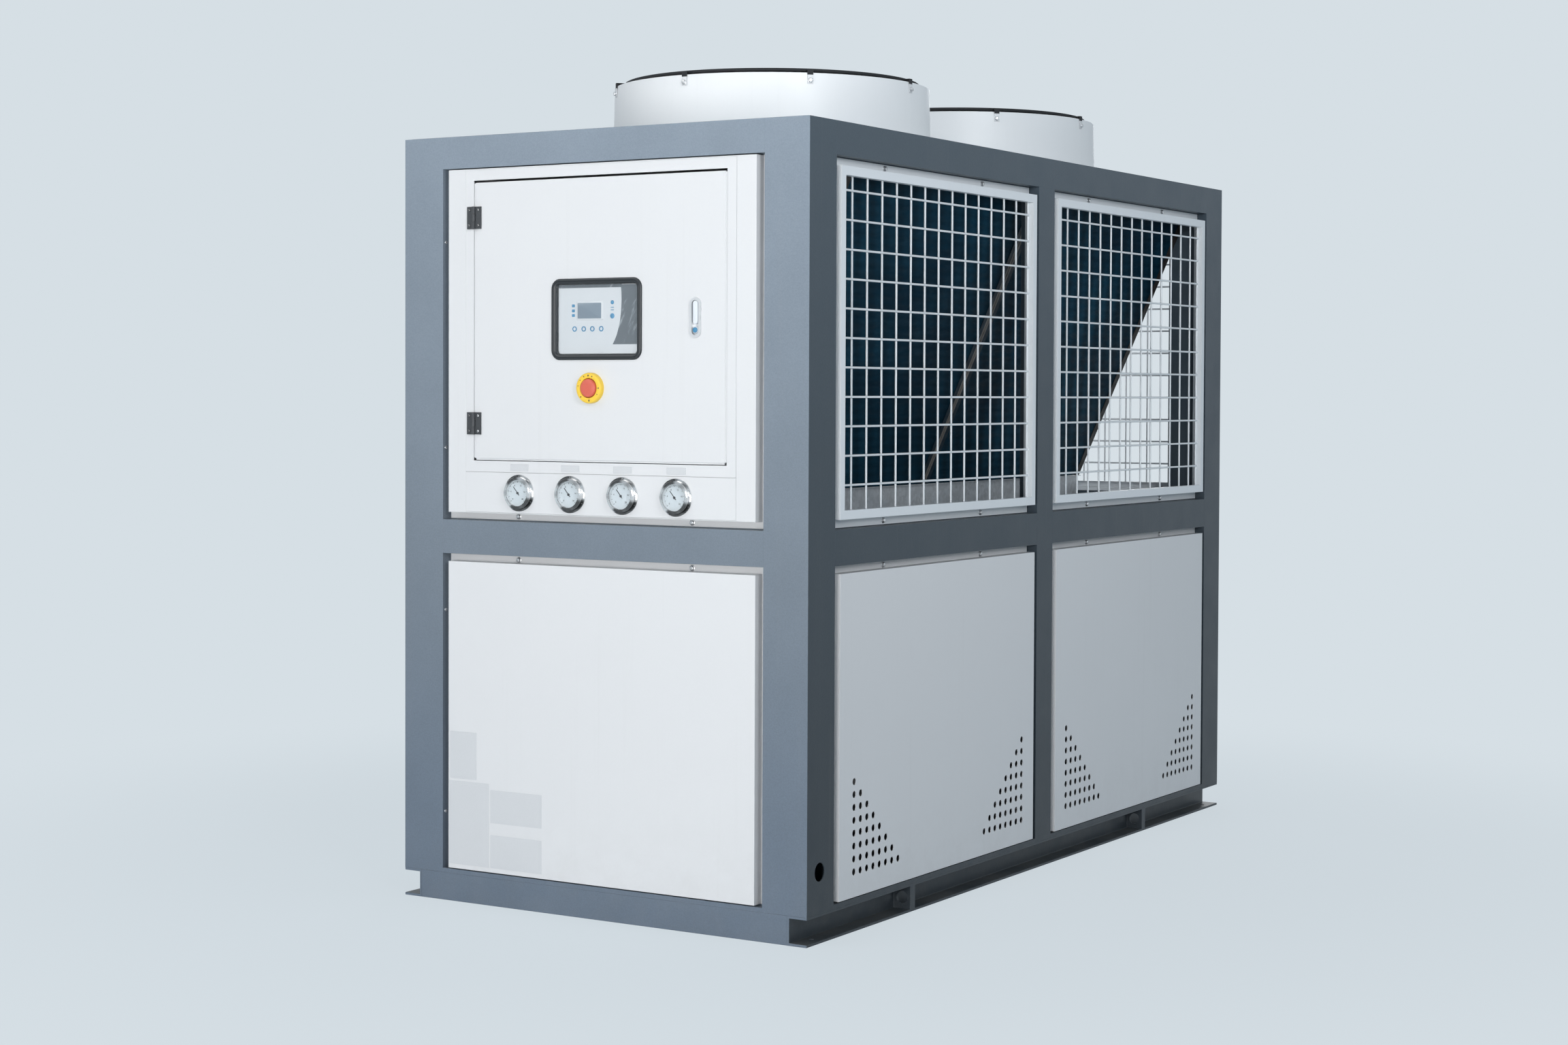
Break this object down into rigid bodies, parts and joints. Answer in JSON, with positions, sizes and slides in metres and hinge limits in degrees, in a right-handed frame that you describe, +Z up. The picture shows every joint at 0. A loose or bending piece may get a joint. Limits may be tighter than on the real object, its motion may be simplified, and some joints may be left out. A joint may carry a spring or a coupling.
{
  "type": "air cooled water chiller",
  "caption": "Box-shaped packaged air cooled water chiller on a channel base, with coils behind wire guards, roof fans and a control cabinet with a window, gauges and a stop button.",
  "frame": {"origin": "centre of the footprint, on the ground, midway between the anchor bolt holes", "axes": "+X to the right along the front, +Y from the front to the back, +Z up"},
  "size_m": [1.13, 2.378, 1.978],
  "materials": {
    "frame_paint": "semi-matt grey-blue paint",
    "panel_paint": "satin off-white powder coat",
    "guard_paint": "satin white powder coat",
    "galvanised_sheet": "dull zinc",
    "coil_fins": "dark blue coated fins",
    "fan_black": "black paint",
    "gauge_steel": "polished",
    "dial_white": "matt white",
    "clear_glass": "clear",
    "black_hinge": "fine-grained black",
    "window_rubber": "matt black rubber",
    "controller_shell": "pale moulded plastic",
    "lock_metal": "satin",
    "stop_yellow": "satin yellow",
    "stop_body": "dark moulded plastic",
    "stop_red": "glossy red"
  },
  "bodies": {
    "chiller": {"base_side_channels": "frame_paint", "base_end_channels": "frame_paint", "base_cross_members": "frame_paint", "corner_posts": "frame_paint", "middle_posts": "frame_paint", "top_rails": "frame_paint", "middle_rails": "frame_paint", "sills": "frame_paint", "roof_deck": "panel_paint", "front_panel": "panel_paint", "back_panel": "panel_paint", "right_panels": "panel_paint", "left_panels": "panel_paint", "fan_shroud_front": "panel_paint", "fan_shroud_rear": "panel_paint", "control_surround": "panel_paint", "control_cabinet": "panel_paint", "gauge_plate": "panel_paint", "right_guards": "guard_paint", "left_guards": "guard_paint", "back_guard": "guard_paint", "floor_deck": "galvanised_sheet", "middle_deck": "galvanised_sheet", "drip_tray": "galvanised_sheet", "coil_end_plates": "galvanised_sheet", "coil_baffles": "galvanised_sheet", "mounting_plate": "galvanised_sheet", "right_coils": "coil_fins", "left_coils": "coil_fins", "fan_guard_front": "fan_black", "fan_guard_rear": "fan_black", "fan_motors": "fan_black", "gauge_cases": "gauge_steel", "gauge_dials": "dial_white", "gauge_glasses": "clear_glass", "hinge_frame_leaves": "black_hinge"},
    "door": {"cabinet_door": "panel_paint", "hinge_door_leaves": "black_hinge", "window_gasket": "window_rubber", "window_pane": "clear_glass", "controller": "controller_shell", "door_lock": "lock_metal", "stop_disc": "stop_yellow", "stop_switch": "stop_body"},
    "stop_button": {"stop_button": "stop_red"},
    "fan_front": {"fan_rotor_front": "fan_black"},
    "fan_rear": {"fan_rotor_rear": "fan_black"}
  },
  "joints": [
    {"name": "door_swing", "type": "hinge", "parent": "chiller", "child": "door", "pos_m": [-0.3505, -1.1775, 1.3733], "axis": [0, 0, -1], "range_deg": [0, 120]},
    {"name": "stop_press", "type": "slide", "parent": "door", "child": "stop_button", "axis": [0, 1, 0], "range_m": [0, 0.005]},
    {"name": "fan_front_spin", "type": "hinge", "parent": "chiller", "child": "fan_front", "pos_m": [0, -0.42025, 1.88], "axis": [0, 0, 1], "continuous": true},
    {"name": "fan_rear_spin", "type": "hinge", "parent": "chiller", "child": "fan_rear", "pos_m": [0, 0.55225, 1.88], "axis": [0, 0, 1], "continuous": true}
  ]
}
